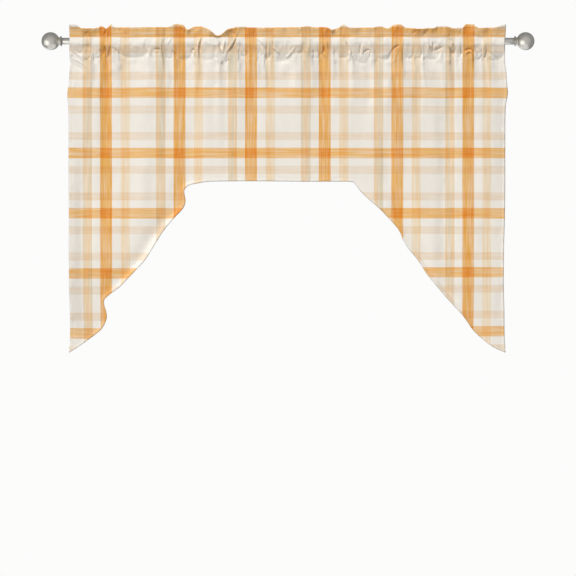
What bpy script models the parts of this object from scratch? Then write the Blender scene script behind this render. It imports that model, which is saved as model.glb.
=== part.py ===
"""Rod-pocket window valance with an arched lower edge, on a plain rod with ball finials.

Frame: metres, +Z up, +X to the right as seen from the room, +Y towards the window.
The origin is on the rod's axis, halfway along it.
"""
import math

import bmesh
import bpy
from mathutils import geometry

MM = 0.001

# Rod and finials
ROD_DIAMETER = 19.0 * MM
ROD_LENGTH = 1254.0 * MM
ROD_SIDES = 32
COLLAR_DIAMETER = 30.0 * MM
COLLAR_WIDTH = 7.0 * MM
NECK_DIAMETER = 22.0 * MM
BALL_DIAMETER = 50.0 * MM
BALL_CENTRE = 660.0 * MM
BALL_STEPS = 12
JOINT_GAP = 0.3 * MM

# Cloth
CLOTH_THICKNESS = 2.0 * MM
FRILL_THICKNESS = 3.2 * MM
ROD_CLEARANCE = 1.2 * MM
UPPER_SEAM_Z = 12.6 * MM
LOWER_SEAM_Z = -44.0 * MM
SEAM_Y = -2.0 * MM
FRILL_Y = -3.0 * MM
FRILL_FULL_HEIGHT = 35.0 * MM
BODY_END_Z = -930.0 * MM
BODY_ROWS = 17
COLUMNS = 84

# Angles from straight up at which the cloth's two faces are drawn round the rod (degrees)
OUTER_ANGLES = (52, 84, 112)
INNER_ANGLES = (36, 66, 96)

# Rows of the pocket below the rod: share of the way down to the lower seam, how far its walls
# stand off the seam's plane as a share of the space round the rod, and how much less the front
# one does between the gathers
POCKET_ROWS = ((0.42, 0.60, 0.20), (0.74, 0.56, 0.50))
POCKET_END = 0.93
FULL_GATHER = 4.0 * MM

# Side edges: height of the row, left edge, right edge (mm)
SIDE_EDGES = (
    (50, -606, 604),
    (0, -606, 602),
    (-45, -608, 604),
    (-100, -613, 609),
    (-150, -614, 609),
    (-180, -611, 605),
    (-230, -609, 604),
    (-535, -608, 604),
    (-640, -608, 602),
    (-760, -606, 601),
    (-820, -607, 603),
    (-868, -611, 607),
)

# Top of the frill: place along the rod, height above the rod's axis (mm)
FRILL_TOP = (
    (-606, 48), (-590, 47), (-574, 36), (-530, 37), (-519, 42), (-506, 34), (-493, 46), (-482, 38),
    (-338, 39), (-318, 47), (-294, 46), (-279, 31), (-266, 38), (-250, 42), (-232, 37), (-212, 26),
    (-196, 15), (-186, 17), (-172, 30), (-160, 35), (-130, 41), (-108, 37), (30, 38), (50, 42),
    (70, 38), (104, 38), (122, 32), (138, 36), (153, 46), (172, 37), (240, 38), (256, 41),
    (274, 35), (292, 44), (312, 46), (328, 36), (402, 37), (418, 43), (436, 42), (456, 36),
    (482, 36), (494, 47), (514, 46), (528, 37), (564, 37), (603, 47),
)

# Waves of the frill's middle plane: height, length of one radian (mm), start (radians)
FRILL_WAVES = (
    (3.2, 19.0, 0.0),
    (1.6, 8.7, 1.0),
)

# Gathers: place along the rod, half width, height over the rod, height in the body,
# how far down the body they fade, drift sideways over that reach (mm)
GATHERS = (
    (-556, 26, 3.5, 4.0, 420, -4),
    (-524, 22, 4.0, 3.5, 620, -6),
    (-484, 24, 3.0, 3.5, 300, 6),
    (-398, 24, 4.0, 3.5, 420, -6),
    (-353, 28, 4.5, 6.0, 420, -4),
    (-217, 28, 5.5, 7.0, 470, -34),
    (-146, 22, 4.0, 2.5, 260, -8),
    (-72, 30, 5.0, 5.0, 420, 6),
    (28, 26, 3.5, 4.0, 360, 4),
    (70, 20, 4.5, 4.0, 260, 0),
    (120, 22, 4.5, 3.5, 260, 0),
    (192, 22, 5.5, 4.5, 200, 4),
    (266, 24, 4.0, 6.0, 300, 8),
    (328, 24, 4.5, 5.5, 260, 6),
    (386, 28, 5.5, 3.5, 260, 6),
    (478, 28, 4.0, 6.5, 760, 2),
    (528, 22, 5.0, 3.5, 360, -2),
    (566, 24, 4.0, 3.5, 420, 2),
)
BODY_SPREAD = 0.8

# Wide, soft waves of the hanging body: place, half width, height, height of its middle,
# half length up and down (mm)
BODY_WAVES = (
    (-610, 230, -16.0, -900, 340),
    (-573, 34, -5.0, -560, 300),
    (-430, 80, -6.0, -500, 220),
    (-420, 110, 4.0, -220, 200),
    (-167, 40, -4.0, -200, 220),
    (-20, 90, 3.0, -220, 160),
    (140, 80, 3.0, -230, 160),
    (284, 44, -4.0, -320, 200),
    (437, 44, -7.0, -380, 360),
    (540, 70, 5.0, -560, 320),
    (607, 230, -11.0, -900, 320),
)

# Lower edge, from the left point round the arch to the right point (mm)
LOWER_EDGE = (
    (-611, -867), (-556, -829), (-522, -802), (-507, -775), (-506, -755), (-512, -734),
    (-511, -718), (-494, -702), (-446, -660), (-395, -605), (-368, -561), (-343, -523),
    (-292, -465), (-285, -444), (-288, -424), (-287, -411), (-274, -400), (-250, -395),
    (-214, -390), (-60, -389), (130, -390), (176, -391), (187, -398), (200, -415),
    (256, -467), (298, -512), (312, -532), (320, -552), (336, -578), (372, -625), (439, -711),
    (486, -762), (511, -797), (534, -821), (570, -849), (607, -867),
)
EDGE_OVERRUN = 60.0 * MM
EDGE_STEPS = 2

MATERIALS = {
    "cloth": ((0.87, 0.80, 0.68, 1.0), 0.85, 0.0),
    "nickel": ((0.42, 0.41, 0.39, 1.0), 0.32, 1.0),
}


def clear_scene():
    for item in list(bpy.data.objects):
        bpy.data.objects.remove(item, do_unlink=True)


def make_material(name):
    colour, roughness, metallic = MATERIALS[name]
    material = bpy.data.materials.new(name)
    material.use_nodes = True
    shader = material.node_tree.nodes["Principled BSDF"]
    shader.inputs["Base Color"].default_value = colour
    shader.inputs["Roughness"].default_value = roughness
    shader.inputs["Metallic"].default_value = metallic
    return material


def add_object(name, mesh_builder, material=None):
    """Turn a bmesh into a named object with its faces pointing out."""
    bmesh.ops.recalc_face_normals(mesh_builder, faces=mesh_builder.faces)
    mesh = bpy.data.meshes.new(name)
    mesh_builder.to_mesh(mesh)
    mesh_builder.free()
    mesh.shade_smooth()
    mesh.set_sharp_from_angle(angle=math.radians(40))
    if material is not None:
        mesh.materials.append(material)
    item = bpy.data.objects.new(name, mesh)
    bpy.context.collection.objects.link(item)
    return item


def ease(table, position, column):
    """Read one column of a table in mm at a position in metres, eased between its rows."""
    place = position / MM
    rows = sorted(table)
    if place <= rows[0][0]:
        return rows[0][column] * MM
    for low, high in zip(rows, rows[1:]):
        if place <= high[0]:
            part = (place - low[0]) / (high[0] - low[0])
            part = part * part * (3.0 - 2.0 * part)
            return (low[column] + (high[column] - low[column]) * part) * MM
    return rows[-1][column] * MM


def bump(distance, half_width):
    """A rounded hump: 1 in its middle, 0 at its half width and beyond."""
    share = min(abs(distance) / half_width, 1.0)
    return 0.5 + 0.5 * math.cos(math.pi * share)


def smooth_path(points, steps):
    """A Catmull-Rom curve through the points, in metres."""
    path = []
    for index in range(len(points) - 1):
        before = points[max(index - 1, 0)]
        start = points[index]
        end = points[index + 1]
        after = points[min(index + 2, len(points) - 1)]
        for step in range(steps):
            t = step / steps
            path.append(tuple(
                0.5 * MM * (2 * b + (c - a) * t + (2 * a - 5 * b + 4 * c - d) * t * t
                            + (3 * b - a - 3 * c + d) * t ** 3)
                for a, b, c, d in zip(before, start, end, after)))
    path.append(tuple(value * MM for value in points[-1]))
    return path


def rod_gather(x):
    """How far the gathers stand out in front of the rod."""
    return sum(rod * MM * bump(x - place * MM, half * MM)
               for place, half, rod, body, reach, drift in GATHERS)


def body_fold(x, z):
    """How far the hanging body stands out towards the room."""
    out = 0.0
    for place, half, rod, body, reach, drift in GATHERS:
        down = max(0.0, (LOWER_SEAM_Z - z) / (reach * MM))
        if down < 1.0:
            spread = 1.0 + BODY_SPREAD * down
            centre = (place + drift * down) * MM
            out += body * MM * (1.0 - down) * bump(x - centre, half * MM * spread)
    for place, half, height, middle, length in BODY_WAVES:
        out += height * MM * bump(x - place * MM, half * MM) * bump(z - middle * MM, length * MM)
    return out


def frill_middle(x, z):
    """Depth of the frill's middle plane, which weaves in and out as the gathers pass."""
    rise = max(0.0, z - UPPER_SEAM_Z) / FRILL_FULL_HEIGHT
    weave = sum(height * MM * math.sin(x / (length * MM) + start)
                for height, length, start in FRILL_WAVES)
    return FRILL_Y - rod_gather(x) / 2 * (1.0 - rise / 2) + weave * rise


def cloth_section(across):
    """Outer and inner loops of the cloth's cross-section, as (x, y, z) points.

    across runs from 0 at the left edge to 1 at the right edge.
    """
    centre_x = edge_place(across, 0.0)
    top = ease(FRILL_TOP, centre_x, 1)
    gather = rod_gather(centre_x)
    seam_y = SEAM_Y - gather / 2
    half_frill = FRILL_THICKNESS / 2
    half_cloth = CLOTH_THICKNESS / 2
    inner_radius = ROD_DIAMETER / 2 + ROD_CLEARANCE
    outer_radius = inner_radius + CLOTH_THICKNESS

    def point(y, z):
        return (edge_place(across, z), y, z)

    def around(degrees, radius, side):
        angle = math.radians(degrees)
        loose = gather if side < 0 else 0.0
        return point(side * (radius + loose) * math.sin(angle), radius * math.cos(angle))

    def frill(z, side):
        return point(frill_middle(centre_x, z) + side * half_frill, z)

    def pocket(row, side, wall):
        drop, stand, tuck = row
        off = inner_radius * stand
        if side < 0:
            off *= 1.0 - tuck * (1.0 - min(1.0, gather / FULL_GATHER))
            off += gather * (1.0 - drop)
        return point(seam_y + side * (off + wall * (1.0 - drop / 2)), LOWER_SEAM_Z * drop)

    def body(side):
        return [point(seam_y + side * half_cloth, LOWER_SEAM_Z)] + [
            point(seam_y + side * half_cloth - body_fold(centre_x, z), z) for z in rows]

    rows = [LOWER_SEAM_Z + (BODY_END_Z - LOWER_SEAM_Z) * (index + 1) / BODY_ROWS
            for index in range(BODY_ROWS)]
    middle = (UPPER_SEAM_Z + top) / 2

    front, back = ([frill(z, side) for z in (top, middle, UPPER_SEAM_Z)]
                   + [around(angle, outer_radius, side) for angle in OUTER_ANGLES]
                   + [pocket(row, side, CLOTH_THICKNESS) for row in POCKET_ROWS]
                   + body(side) for side in (-1, 1))
    inner_front, inner_back = ([around(angle, inner_radius, side) for angle in INNER_ANGLES]
                               + [pocket(row, side, 0.0) for row in POCKET_ROWS]
                               for side in (-1, 1))
    inner = [point(0.0, inner_radius)] + inner_front + [point(seam_y, LOWER_SEAM_Z * POCKET_END)]
    return front + back[::-1], inner + inner_back[::-1]


def edge_place(across, z):
    """Place along the rod of a column at a height, between the uneven side edges."""
    left = ease(SIDE_EDGES, z, 1)
    right = ease(SIDE_EDGES, z, 2)
    return left + (right - left) * across


def build_cloth(material):
    """One solid: frill, pocket and body lofted across the width, then cut to the lower edge."""
    builder = bmesh.new()
    loops = []
    for column in range(COLUMNS + 1):
        outer, inner = cloth_section(column / COLUMNS)
        loops.append(([builder.verts.new(p) for p in outer], [builder.verts.new(p) for p in inner]))
    for here, there in zip(loops, loops[1:]):
        for ring, next_ring in zip(here, there):
            for index, vertex in enumerate(ring):
                following = (index + 1) % len(ring)
                builder.faces.new((vertex, ring[following], next_ring[following], next_ring[index]))
    for outer, inner in (loops[0], loops[-1]):
        flat = [[(v.co.y, v.co.z, 0.0) for v in ring] for ring in (outer, inner)]
        ends = outer + inner
        for triangle in geometry.tessellate_polygon(flat):
            builder.faces.new([ends[index] for index in triangle])
    cloth = add_object("valance", builder, material)
    cutter = build_edge_cutter()
    cut = cloth.modifiers.new("lower_edge", "BOOLEAN")
    cut.operation = "DIFFERENCE"
    cut.object = cutter
    return cloth


def build_edge_cutter():
    """Guide: the space below the lower edge, as a prism through the cloth."""
    path = smooth_path(LOWER_EDGE, EDGE_STEPS)
    left, right = path[0], path[-1]
    floor = BODY_END_Z - EDGE_OVERRUN
    outline = [(left[0] - EDGE_OVERRUN, floor), (left[0] - EDGE_OVERRUN, left[1] - EDGE_OVERRUN / 2)]
    outline += path
    outline += [(right[0] + EDGE_OVERRUN, right[1] - EDGE_OVERRUN / 2), (right[0] + EDGE_OVERRUN, floor)]
    builder = bmesh.new()
    near = [builder.verts.new((x, -EDGE_OVERRUN, z)) for x, z in outline]
    far = [builder.verts.new((x, EDGE_OVERRUN, z)) for x, z in outline]
    builder.faces.new(near)
    builder.faces.new(far)
    for index in range(len(outline)):
        following = (index + 1) % len(outline)
        builder.faces.new((near[index], near[following], far[following], far[index]))
    cutter = add_object("lower_edge_cutter", builder)
    cutter.hide_render = True
    cutter.display_type = "WIRE"
    return cutter


def build_turned(name, profile, material):
    """A solid turned about the X axis from (place, radius) points; both ends lie on the axis."""
    builder = bmesh.new()
    rings = []
    for place, radius in profile:
        if radius == 0.0:
            rings.append([builder.verts.new((place, 0.0, 0.0))])
        else:
            turns = [2 * math.pi * side / ROD_SIDES for side in range(ROD_SIDES)]
            rings.append([builder.verts.new((place, radius * math.sin(a), radius * math.cos(a)))
                          for a in turns])
    for ring, next_ring in zip(rings, rings[1:]):
        for side in range(ROD_SIDES):
            other = (side + 1) % ROD_SIDES
            corners = [ring[side % len(ring)], ring[other % len(ring)],
                       next_ring[other % len(next_ring)], next_ring[side % len(next_ring)]]
            builder.faces.new(list(dict.fromkeys(corners)))
    return add_object(name, builder, material)


def build_rod(material):
    half = ROD_LENGTH / 2
    radius = ROD_DIAMETER / 2
    return build_turned("rod", [(-half, 0.0), (-half, radius), (half, radius), (half, 0.0)], material)


def build_finial(name, side, material):
    """Collar, neck and ball at one end of the rod."""
    start = ROD_LENGTH / 2 + JOINT_GAP
    ball_radius = BALL_DIAMETER / 2
    neck_radius = NECK_DIAMETER / 2
    first = math.asin(neck_radius / ball_radius)
    profile = [(start, 0.0), (start, ROD_DIAMETER / 2 + 0.5 * MM),
               (start + COLLAR_WIDTH / 2, COLLAR_DIAMETER / 2),
               (start + COLLAR_WIDTH, neck_radius)]
    for step in range(BALL_STEPS):
        angle = first + (math.pi - first) * step / BALL_STEPS
        profile.append((BALL_CENTRE - ball_radius * math.cos(angle), ball_radius * math.sin(angle)))
    profile.append((BALL_CENTRE + ball_radius, 0.0))
    return build_turned(name, [(side * place, radius) for place, radius in profile], material)


def main():
    clear_scene()
    cloth_material = make_material("cloth")
    nickel = make_material("nickel")
    build_cloth(cloth_material)
    build_rod(nickel)
    build_finial("finial_left", -1, nickel)
    build_finial("finial_right", 1, nickel)


main()
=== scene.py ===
"""Looks of the window valance: gathered plaid cloth on a brushed nickel rod with ball finials."""
import math

import bpy
import numpy as np
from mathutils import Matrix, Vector, geometry
from mathutils.kdtree import KDTree


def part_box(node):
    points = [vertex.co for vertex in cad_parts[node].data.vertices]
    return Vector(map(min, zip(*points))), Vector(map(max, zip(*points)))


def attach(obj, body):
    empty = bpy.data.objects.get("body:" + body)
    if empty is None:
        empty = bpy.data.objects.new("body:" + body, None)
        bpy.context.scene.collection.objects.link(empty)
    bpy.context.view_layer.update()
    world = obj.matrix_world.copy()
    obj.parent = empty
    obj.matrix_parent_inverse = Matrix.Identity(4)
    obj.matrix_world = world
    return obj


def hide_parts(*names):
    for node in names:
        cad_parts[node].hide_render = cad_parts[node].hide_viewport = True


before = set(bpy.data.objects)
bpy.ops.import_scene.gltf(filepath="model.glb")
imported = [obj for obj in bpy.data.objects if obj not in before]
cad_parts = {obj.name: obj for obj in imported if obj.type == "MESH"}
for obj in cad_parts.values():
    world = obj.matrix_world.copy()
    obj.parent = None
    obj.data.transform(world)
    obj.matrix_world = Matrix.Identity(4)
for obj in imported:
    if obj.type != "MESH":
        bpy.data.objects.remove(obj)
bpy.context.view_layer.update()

MM = 0.001

# ---- sizes read from the frame
rod_low, rod_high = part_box("rod")
ROD_RADIUS = (rod_high[1] - rod_low[1]) / 2
ROD_HALF = rod_high[0]
FINIAL_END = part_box("finial_right")[1][0]
BALL_RADIUS = (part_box("finial_right")[1][2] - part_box("finial_right")[0][2]) / 2
BALL_CENTRE = FINIAL_END - BALL_RADIUS

# ---- cloth, given sizes
HALF_SHEET = 0.3 * MM
LEFT_X, RIGHT_X = -608.0 * MM, 604.0 * MM

# Pocket: the cloth follows the rod as far as the wrap angle and rises straight to the upper seam, where
# its layers lie a pinch apart. Below the lower seam the back layer ends in a turned edge.
WRAP_RADIUS = ROD_RADIUS + 1.0 * MM
WRAP_ANGLE = math.radians(3)
BACK_ANGLE = math.radians(82)
STITCH_Y = -9.4 * MM
STITCH_Z = WRAP_RADIUS + 1.2 * MM
PINCH = 1.0 * MM
LOWER_STITCH_Z = -46.0 * MM
TURN_Z = -53.0 * MM
TURN_UP = 7.0 * MM
BACK_LAYER = 1.5 * MM
TURNED_LAYER = 0.75 * MM
ROD_CLEARANCE = 0.75 * MM

# Frill: room for a layer along the cloth's path, gap between layers, least real length, spare length
# where it stands taller, and how it bows
FRILL_ROOM = 30.0 * MM
FRILL_GAP = 2.6 * MM
FRILL_STITCHED = 22.0 * MM
FRILL_SLACK = 3.0 * MM
FRILL_BOW = 0.7

# Body: how far behind the rod's axis it hangs, how fast the cloth falls back to it, where tucks start,
# the depth of a full one as their table has it, how steeply they go, and the strength of creases
BODY_Y = 2.0 * MM
FALL_BACK = 75.0 * MM
TUCK_TOP = -7.0 * MM
FULL_TUCK = 5.0
TUCK_CURVE = 1.8
CREASE_RISE = 2.2

# Hems and stitches
HEM_WIDTH = 10.0 * MM
HEM_STITCH = 8.5 * MM
HEM_STEP = 0.75 * MM
STITCH_PITCH = 3.0 * MM
STITCH_LENGTH = 2.2 * MM
THREAD_RADIUS = 0.26 * MM

# Places along the cloth's path: 0 in front at the level of the rod's axis, then up, over and down
ARC_END = np.array((-WRAP_RADIUS * math.cos(WRAP_ANGLE), WRAP_RADIUS * math.sin(WRAP_ANGLE)))
STITCH_POINT = np.array((STITCH_Y - PINCH / 2, STITCH_Z))
BACK_STITCH = np.array((STITCH_Y + PINCH / 2, STITCH_Z))
STITCH_RISE = WRAP_RADIUS * WRAP_ANGLE + np.linalg.norm(STITCH_POINT - ARC_END)
FRILL_TOP_RISE = STITCH_RISE + FRILL_ROOM
BACK_START = FRILL_TOP_RISE + FRILL_ROOM
BACK_TURN = BACK_START + STITCH_RISE - TURN_Z
BACK_END = BACK_TURN + TURN_UP

# Where one region gives way to the next: start and end below the rod's axis (mm)
ROD_TO_HANG = (20, 60)
POCKET_TO_BODY = (40, 120)
POCKET_START = (-20, 10)
BODY_TO_TAILS = (300, 400)

# Side edges: height of the row, left edge, right edge (mm)
SIDE_EDGES = (
    (50, -606, 604), (12, -606, 603), (0, -606, 602), (-16, -607, 602), (-45, -606, 602),
    (-65, -605, 603), (-80, -607, 606), (-114, -608, 608), (-130, -611, 610), (-147, -613, 611),
    (-163, -612, 608), (-180, -610, 605), (-230, -609, 604), (-360, -609, 604), (-490, -608, 603),
    (-560, -608, 601), (-640, -608, 600), (-700, -608, 601), (-760, -607, 603), (-820, -608, 604),
    (-868, -611, 607),
)

# Top of the frill: place along the rod, height above the rod's axis (mm)
FRILL_TOP = (
    (-606, 48), (-590, 47), (-574, 36), (-530, 37), (-519, 42), (-506, 34), (-493, 46), (-482, 38),
    (-338, 39), (-318, 47), (-294, 46), (-279, 31), (-266, 38), (-250, 42), (-232, 37), (-212, 26),
    (-196, 14), (-186, 16), (-172, 30), (-160, 35), (-130, 41), (-108, 37), (30, 38), (50, 42),
    (70, 38), (104, 38), (122, 32), (138, 36), (153, 46), (172, 37), (240, 38), (256, 41),
    (274, 35), (292, 44), (312, 46), (328, 36), (402, 37), (418, 43), (436, 42), (456, 36),
    (482, 36), (494, 47), (514, 46), (528, 37), (564, 37), (603, 47),
)

# How far the frill nods towards the room: place along the rod, angle (degrees)
FRILL_TILT = (
    (-606, 20), (-575, 20), (-545, 20), (-515, 10), (-480, 8), (-300, 8), (-250, 10), (-200, 12),
    (-147, 15), (-105, 8), (60, 9), (120, 4), (172, 15), (220, 7), (305, 6), (335, 14), (367, 25),
    (400, 22), (425, 8), (470, 20), (500, 6), (540, 14), (604, 14),
)

# Gathers that run from the frill over the rod into the body: place, half width, height over the
# rod, height in the body, how far down they fade, drift sideways over that reach (mm)
GATHERS = (
    (-556, 26, 1.8, 3.0, 420, -4), (-524, 18, 2.2, 3.0, 620, -6), (-484, 24, 1.6, 1.3, 300, 6),
    (-398, 24, 2.2, 2.6, 420, -6), (-370, 20, 0.4, 2.4, 150, 0), (-244, 20, 0.4, 2.8, 140, 0),
    (-353, 26, 2.2, 3.0, 420, -4), (-217, 27, 2.8, 6.0, 470, -34), (-139, 20, 2.2, 3.5, 260, -4),
    (-72, 30, 2.6, 4.0, 420, 6), (28, 26, 1.8, 3.0, 360, 4), (59, 14, 2.2, 1.5, 260, 0),
    (140, 18, 2.2, 1.6, 260, 0), (181, 17, 2.8, 2.6, 200, 4), (272, 16, 2.0, 1.0, 300, 4),
    (306, 20, 0.4, 2.4, 160, 0), (321, 19, 2.4, 2.4, 260, 4), (386, 26, 2.8, 2.6, 260, 6),
    (450, 20, 0.4, 3.4, 130, 0), (476, 18, 2.0, 1.6, 300, 2), (518, 18, 2.6, 1.6, 300, -2),
    (566, 22, 2.0, 3.0, 420, 2),
)

# Cloth tucked back under the rod between the gathers: middle, half width, lowest height, depth (mm)
TUCKS = (
    (-589, 20, -34, 3.0), (-564, 12, -52, 4.0), (-532, 13, -49, 4.0), (-516, 8, -38, 3.5),
    (-501, 9, -46, 4.5), (-431, 40, -47, 6.0), (-364, 13, -32, 2.0), (-334, 16, -48, 6.5),
    (-290, 28, -50, 6.5), (-225, 26, -53, 7.0), (-178, 11, -58, 5.0), (-125, 13, -41, 4.0),
    (-76, 9, -42, 2.5), (-58, 9, -49, 5.0), (-17, 37, -53, 8.0), (32, 15, -32, 4.0),
    (80, 13, -46, 3.5), (92, 9, -38, 4.5), (152, 24, -47, 6.0), (204, 27, -61, 7.0),
    (266, 26, -50, 4.5), (334, 16, -49, 5.0), (361, 13, -46, 3.5), (401, 25, -52, 7.0),
    (458, 9, -35, 4.5), (474, 9, -42, 3.0), (528, 14, -52, 4.5), (548, 9, -44, 5.0),
    (577, 25, -54, 6.0),
)

# Creases: from x, z to x, z, half width, height (minus for a trough), bow where there is one (mm)
CREASES = (
    (-559, -2, -549, -30, 2.4, -1.8), (-551, -19, -551, -44, 2.4, 1.4),
    (-509, -16, -501, -44, 1.9, -2.2), (-493, -13, -501, -44, 1.9, -2.0),
    (-490, -18, -466, -42, 1.7, -1.7, 3), (-384, -22, -385, -40, 2.4, 1.2),
    (-372, -24, -354, -26, 3.0, -2.2, 2), (-353, 9, -352, -47, 2.2, 1.0),
    (-345, 4, -345, -9, 1.6, -1.2), (-325, 12, -334, -8, 2.0, 1.2),
    (-320, -27, -309, -44, 1.7, -1.8), (-271, -34, -254, -34, 2.0, -2.0, 11),
    (-260, -26, -261, -42, 2.2, 1.2), (-243, 11, -248, -46, 1.9, 2.4, -5),
    (-238, 4, -246, -30, 2.8, -1.6, -3), (-200, 2, -181, -32, 1.9, 2.2, -2),
    (-176, 5, -181, -32, 1.8, 1.8), (-190, 9, -186, -20, 4.0, -2.6),
    (-146, 10, -170, -30, 1.9, 2.2, 1), (-143, 5, -162, -27, 1.9, -2.4, 1),
    (-170, -25, -165, -58, 1.6, -1.2), (-136, -5, -118, -38, 4.0, -2.2),
    (-85, 2, -72, -18, 1.8, -2.0, 1), (-78, 2, -63, -22, 1.9, 1.8, 1),
    (-70, -22, -60, -44, 1.8, 1.4, -1), (-58, -5, -58, -48, 2.2, -2.4),
    (-41, 6, -41, -13, 1.5, -1.2), (-41, -18, -24, -36, 1.9, 2.0, 1),
    (-6, -46, 20, -17, 2.4, 1.3, -2), (56, -14, 56, -44, 2.4, 1.4), (100, -13, 102, -36, 1.6, -1.8),
    (106, 2, 110, -20, 1.8, 1.6), (156, 11, 190, -58, 2.0, -2.8, -2),
    (172, -26, 171, -56, 4.0, 2.2), (201, -9, 201, -38, 2.0, -2.2), (208, -12, 208, -34, 2.0, 1.9),
    (211, -34, 233, -34, 1.9, -1.9, 9), (226, -24, 226, -40, 2.2, 1.2),
    (289, -32, 313, -13, 1.9, -2.0, 5), (304, -20, 304, -42, 2.4, 1.4),
    (386, 2, 395, -20, 3.0, 2.2), (404, -2, 404, -31, 2.0, -2.0),
    (409, -26, 433, -17, 2.5, -2.0, 1), (440, -52, 452, -58, 8.0, 1.2),
    (448, -18, 459, -35, 2.2, -2.0), (443, 11, 460, -14, 1.8, 2.0, 4),
    (447, 6, 463, -18, 1.7, -1.6, 4), (481, -10, 485, -42, 1.7, -2.2),
    (494, -38, 514, -38, 2.1, 2.2, 8), (492, -30, 516, -30, 1.9, -1.8, 8),
    (517, -5, 534, -46, 2.8, -1.8), (545, 0, 545, -56, 5.0, 1.8),
    (564, -30, 586, -52, 2.4, -1.6, -2), (-598, -30, -575, -46, 2.4, 1.4, 2),
    (-600, -48, -560, -74, 3.0, 1.2, 2), (-596, -66, -566, -88, 2.6, -1.0, 2),
)

# Creases of the frill, in the same columns
FRILL_CREASES = (
    (-564, 14, -560, 26, 2.6, -2.0), (-524, 36, -514, 12, 2.2, -2.6),
    (-514, 12, -500, 38, 2.2, -2.4), (-505, 14, -497, 40, 2.4, 1.8),
    (-484, 35, -466, 24, 2.2, -1.2), (-452, 22, -446, 13, 2.4, -1.4),
    (-345, 14, -348, 34, 2.4, 1.2), (-300, 40, -284, 28, 3.0, 1.8),
    (-262, 20, -236, 34, 4.0, 1.8, 3), (-160, 30, -148, 14, 4.0, -2.6),
    (-146, 12, -140, 30, 2.2, 1.8), (-96, 15, -92, 26, 2.4, -1.4), (30, 14, 36, 30, 2.6, -1.4),
    (100, 20, 112, 40, 3.0, 1.4), (132, 34, 138, 16, 2.6, -1.8), (156, 14, 152, 34, 2.4, 1.6),
    (236, 14, 230, 30, 3.0, -1.4), (292, 20, 302, 42, 3.0, 1.6), (340, 14, 360, 34, 3.4, -1.6),
    (376, 16, 390, 34, 4.0, -2.2), (436, 30, 446, 13, 2.2, 1.8, 2), (476, 14, 482, 34, 2.4, -1.8),
    (516, 16, 510, 40, 2.6, 1.4), (556, 14, 552, 32, 3.0, -1.2),
)

# Soft folds of the pocket and the body, in the same columns, from left to right
SOFT_FOLDS = (
    (-573, -300, -574, -850, 15, -4.5), (-534, -30, -536, -780, 16, 1.8),
    (-500, -60, -512, -330, 18, -2.0), (-470, -430, -500, -690, 26, 2.6, -6),
    (-408, -60, -424, -380, 58, 3.5), (-394, -300, -414, -520, 22, 4.5),
    (-336, -50, -337, -160, 9, 2.4), (-250, -200, -262, -400, 26, -2.4),
    (-186, -60, -190, -250, 17, 3.8), (-170, -230, -170, -400, 14, -3.0),
    (-167, -40, -168, -120, 15, -4.0), (-120, -80, -150, -380, 30, 2.0, -6),
    (-34, -46, 0, -46, 15, -3.0), (-20, -52, -20, -64, 20, -1.6), (-20, -120, -24, -270, 40, 2.6),
    (4, -62, 8, -110, 16, -2.2), (71, -42, 72, -130, 12, 2.8), (104, -40, 104, -190, 12, -3.4),
    (140, -90, 150, -380, 34, 2.2), (212, -436, 262, -488, 20, 4.5),
    (226, -50, 230, -190, 14, -4.2), (264, -400, 286, -470, 15, 3.0),
    (270, -50, 272, -190, 24, 3.6), (284, -180, 280, -460, 16, -3.0),
    (285, -72, 288, -330, 45, 4.0), (294, -50, 296, -170, 11, -3.0), (334, -50, 336, -180, 16, 3.2),
    (355, -300, 372, -560, 24, 2.4), (392, -520, 420, -690, 20, 3.4), (396, 16, 396, -70, 32, -3.5),
    (437, -60, 438, -690, 20, -6.5), (478, 10, 472, -50, 16, -1.6),
    (520, -120, 522, -480, 16, -2.6), (530, -60, 533, -440, 22, 4.2),
    (556, -420, 562, -720, 30, -3.0),
)

# Lower edge, from the left point round the arch to the right point (mm)
LOWER_EDGE = (
    (-611, -867), (-584, -849), (-556, -829), (-522, -802), (-507, -775), (-506, -755),
    (-512, -734), (-511, -718), (-494, -702), (-467, -682), (-446, -660), (-420, -633),
    (-395, -605), (-368, -561), (-343, -523), (-317, -492), (-292, -465), (-285, -444),
    (-288, -424), (-287, -411), (-274, -400), (-250, -395), (-214, -390), (-140, -389),
    (-60, -389), (40, -390), (130, -390), (176, -391), (187, -398), (200, -415), (226, -441),
    (256, -467), (298, -512), (312, -532), (320, -552), (336, -578), (357, -603), (372, -625),
    (389, -651), (439, -711), (486, -762), (511, -797), (534, -821), (570, -849), (607, -867),
)

# How the lower edge curls towards the room, and the hollow inside it: place along it, each (mm)
EDGE_CURL = (
    (-612, 1, 0), (-560, 2, 0), (-520, 2.5, 1), (-500, 3.5, 2), (-440, 5, 5), (-400, 5.5, 7),
    (-350, 5.5, 6), (-310, 4, 4), (-285, 2, 2), (-200, 1.5, 0), (0, 1, 0), (170, 1, 0), (240, 2, 0),
    (340, 2.5, 3), (390, 4, 8), (440, 6, 8.5), (480, 5, 4), (540, 2, 0), (606, 1, 0),
)

# How the side edges turn as they go down: height, left edge towards the room, right edge away (mm)
SIDE_CURL = (
    (60, 0, 0), (-60, 0, 0), (-140, 3, 1), (-240, 6, 3), (-420, 9, 4.5), (-700, 10, 5), (-870, 5, 3),
)

# How far the gathers push the plaid's upright bands sideways: place, shift (mm)
BAND_SHIFT = (
    (-606, -1), (-506, -1.7), (-301, 1.6), (-103, -1.2), (102, 2.6), (304, 2.9), (501, -1.3),
    (604, -3),
)

# How far each tail swings back: side, distance, then across from and to, down from and to (mm)
TAIL_SWING = ((-1, 34, 180, 560, 590, 900), (1, 24, 250, 560, 600, 900))

# How far the plaid climbs in the right tail, in the same columns
BAND_LIFT = (1, 6.5, 150, 400, 480, 800)

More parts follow.
